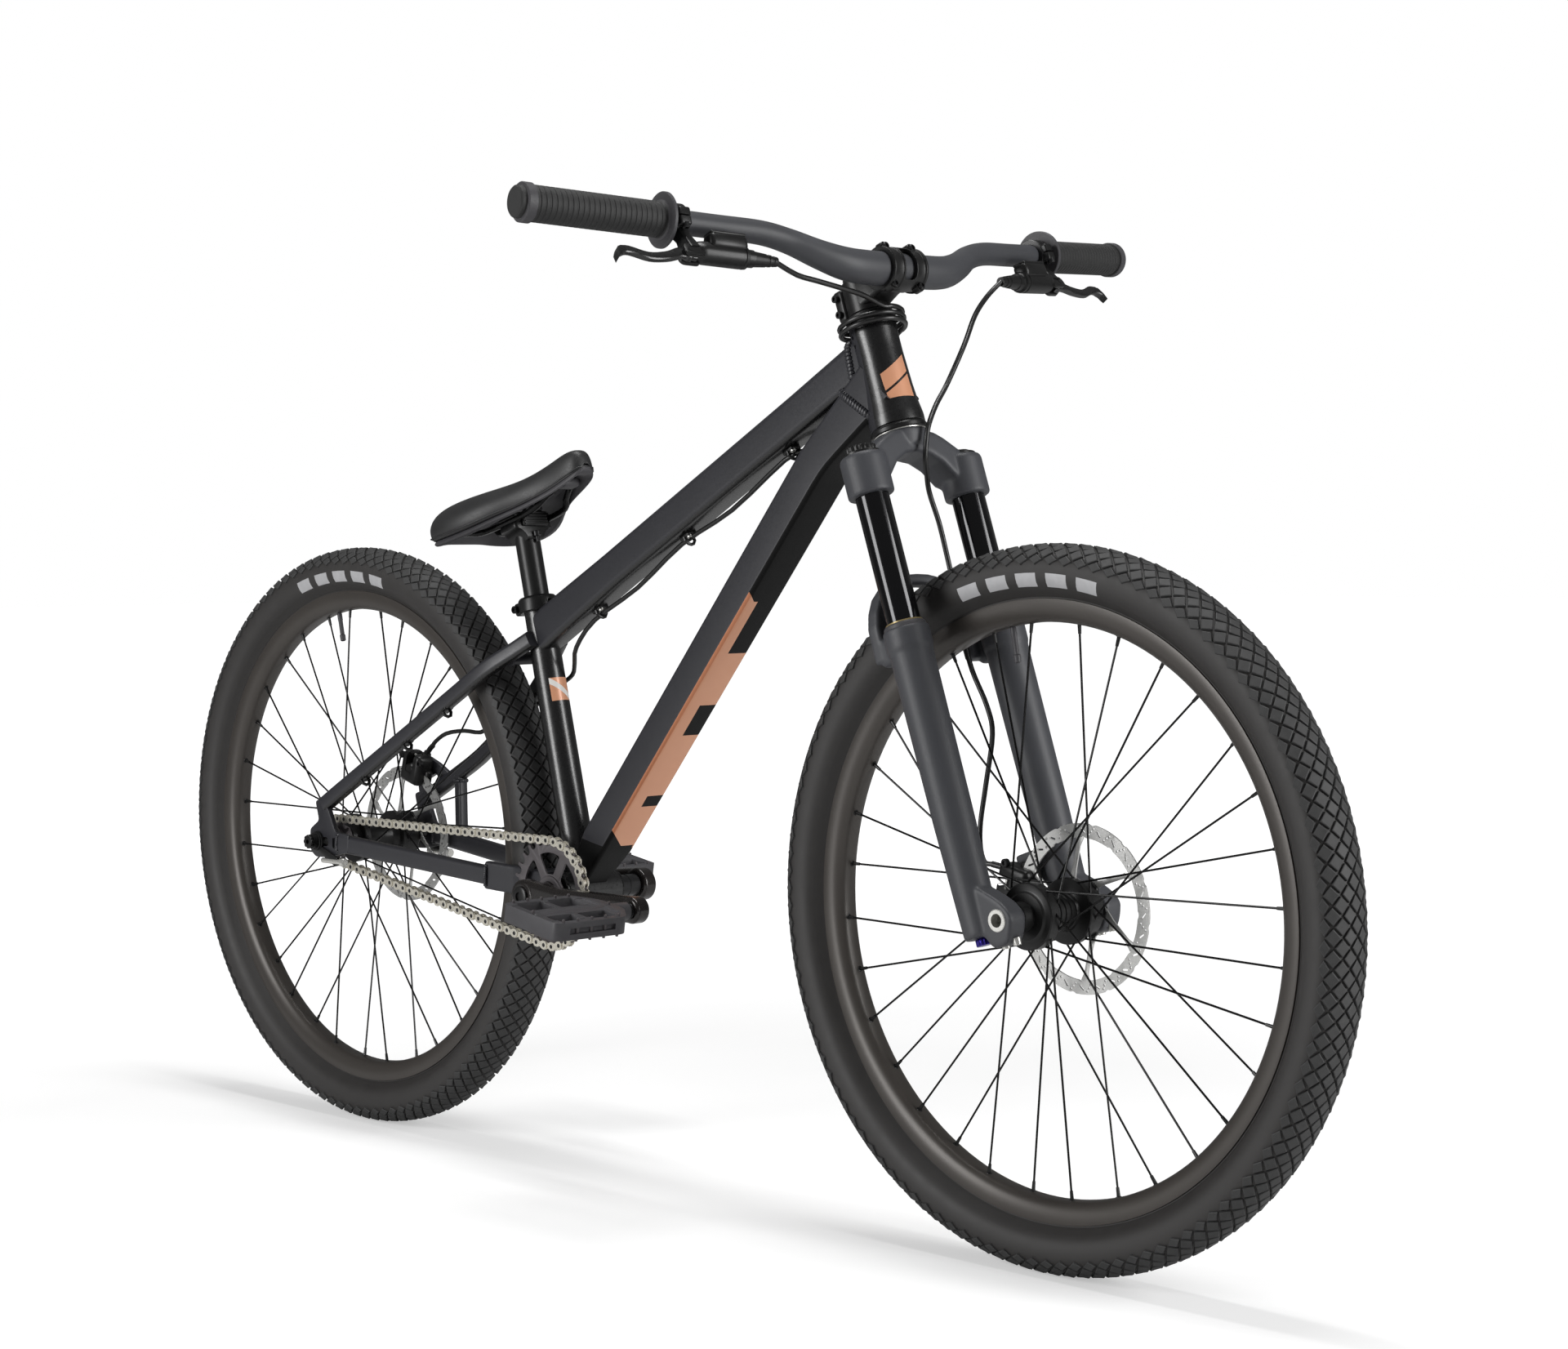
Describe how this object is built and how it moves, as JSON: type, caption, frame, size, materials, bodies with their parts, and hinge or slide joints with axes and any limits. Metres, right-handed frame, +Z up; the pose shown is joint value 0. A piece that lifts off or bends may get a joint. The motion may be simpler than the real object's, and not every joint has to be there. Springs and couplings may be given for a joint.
{
  "type": "dirt jump bike",
  "caption": "Rigid-framed dirt jump bicycle with a short-travel fork, single-speed chain drive, low sloped saddle, disc brakes and a rear brake hose wound round the head tube.",
  "frame": {"origin": "on the ground under the middle of the wheelbase, between the two tyre contact points", "axes": "+X forwards, +Y to the rider's left, +Z up"},
  "size_m": [1.73, 0.8018, 0.9815],
  "materials": {
    "frame_satin": "satin charcoal enamel",
    "frame_gloss": "gloss black enamel",
    "fork_paint": "matte grey enamel",
    "black_alloy": "satin black anodised",
    "bar_coating": "dark grey shot-peened and anodised",
    "stanchion_coating": "gloss black hard anodised",
    "plain_steel": "ground and plated",
    "rim_coating": "satin brown-black anodised",
    "spoke_black": "satin black",
    "tyre_compound": "matte dark grey",
    "grip_rubber": "matte black",
    "saddle_cover": "matte black synthetic leather",
    "black_plastic": "dark grey moulded nylon",
    "hose_jacket": "satin black",
    "blue_anodised": "purple-blue anodised"
  },
  "bodies": {
    "frame": {"head_tube": "frame_satin", "top_tube": "frame_satin", "down_tube": "frame_satin", "seat_tube": "frame_gloss", "bottom_bracket_shell": "frame_gloss", "chainstay_yoke": "frame_satin", "headset_upper_cup": "black_alloy", "headset_lower_cup": "black_alloy", "seat_clamp": "black_alloy", "rear_axle": "black_alloy", "rear_caliper": "black_alloy", "rear_hose": "hose_jacket", "chain": "plain_steel", "chainstay_right": "frame_satin", "chainstay_left": "frame_satin", "seatstay_right": "frame_satin", "seatstay_left": "frame_satin", "seatstay_bridge": "frame_satin", "bottom_bracket_bearing_right": "black_alloy", "bottom_bracket_bearing_left": "black_alloy", "chain_tensioner_right": "black_alloy", "chain_tensioner_left": "black_alloy"},
    "seat": {"seatpost": "black_alloy", "seatpost_clamp": "black_alloy", "saddle_rails": "spoke_black", "saddle_base": "black_plastic", "saddle_cushion": "saddle_cover"},
    "steering": {"fork_crown": "fork_paint", "stem": "black_alloy", "stem_faceplate": "black_alloy", "stem_top_cap": "black_alloy", "handlebar": "bar_coating", "stanchion_right": "stanchion_coating", "stanchion_left": "stanchion_coating", "grip_right": "grip_rubber", "grip_left": "grip_rubber", "brake_lever_body_right": "black_alloy", "brake_lever_body_left": "black_alloy"},
    "lever_right": {"brake_lever_blade_right": "black_alloy"},
    "lever_left": {"brake_lever_blade_left": "black_alloy"},
    "lowers": {"fork_lowers": "fork_paint", "front_axle": "plain_steel", "front_caliper": "black_alloy", "front_hose": "hose_jacket"},
    "rebound": {"rebound_knob": "blue_anodised"},
    "front_wheel": {"front_rim": "rim_coating", "front_tyre": "tyre_compound", "front_hub_and_spokes": "spoke_black", "front_rotor": "plain_steel"},
    "rear_wheel": {"rear_rim": "rim_coating", "rear_tyre": "tyre_compound", "rear_hub_and_spokes": "spoke_black", "rear_rotor": "plain_steel"},
    "driver": {"rear_cog": "black_alloy"},
    "cranks": {"crank_arm_right": "black_alloy", "crank_arm_left": "black_alloy", "crank_spindle": "plain_steel", "sprocket": "black_alloy"},
    "right_pedal": {"pedal_right": "black_plastic"},
    "left_pedal": {"pedal_left": "black_plastic"}
  },
  "joints": [
    {"name": "steering", "type": "hinge", "parent": "frame", "child": "steering", "pos_m": [0.31392, 0, 0.83134], "axis": [-0.3338, 0, 0.9426], "range_deg": [-180, 180], "deforming": ["rear_hose"]},
    {"name": "fork_travel", "type": "slide", "parent": "steering", "child": "lowers", "axis": [-0.3338, 0, 0.9426], "range_m": [0, 0.1], "stiffness_N_per_m": 8000, "springref_m": -0.03, "deforming": ["front_hose"]},
    {"name": "front_wheel_spin", "type": "hinge", "parent": "lowers", "child": "front_wheel", "pos_m": [0.53, 0, 0.335], "axis": [0, 1, 0], "continuous": true},
    {"name": "rebound_turn", "type": "hinge", "parent": "lowers", "child": "rebound", "pos_m": [0.50411, -0.065, 0.31225], "axis": [-0.3338, 0, 0.9426], "range_deg": [-150, 150]},
    {"name": "rear_wheel_spin", "type": "hinge", "parent": "frame", "child": "rear_wheel", "pos_m": [-0.53, 0, 0.335], "axis": [0, 1, 0], "continuous": true},
    {"name": "crank_spin", "type": "hinge", "parent": "frame", "child": "cranks", "pos_m": [-0.13931, 0, 0.303], "axis": [0, 1, 0], "continuous": true, "deforming": ["chain"]},
    {"name": "cog_spin", "type": "hinge", "parent": "frame", "child": "driver", "pos_m": [-0.53, 0, 0.335], "axis": [0, 1, 0], "continuous": true},
    {"name": "right_pedal_spin", "type": "hinge", "parent": "cranks", "child": "right_pedal", "pos_m": [0.03569, 0, 0.303], "axis": [0, 1, 0], "continuous": true},
    {"name": "left_pedal_spin", "type": "hinge", "parent": "cranks", "child": "left_pedal", "pos_m": [-0.31431, 0, 0.303], "axis": [0, 1, 0], "continuous": true},
    {"name": "right_lever_pull", "type": "hinge", "parent": "steering", "child": "lever_right", "pos_m": [0.31234, -0.246, 0.92503], "axis": [-0.7655, 0.0974, -0.6361], "range_deg": [0, 20], "stiffness_Nm_per_rad": 1.5, "springref_deg": -17.19},
    {"name": "left_lever_pull", "type": "hinge", "parent": "steering", "child": "lever_left", "pos_m": [0.31234, 0.246, 0.92503], "axis": [0.7655, 0.0974, 0.6361], "range_deg": [0, 20], "stiffness_Nm_per_rad": 1.5, "springref_deg": -17.19},
    {"name": "seatpost_slide", "type": "slide", "parent": "frame", "child": "seat", "axis": [-0.23, 0, 0.9732], "range_m": [-0.045, 0.08]}
  ],
  "couplings": [
    {"joint": "cog_spin", "follows": "crank_spin", "ratio": 2.3333}
  ]
}
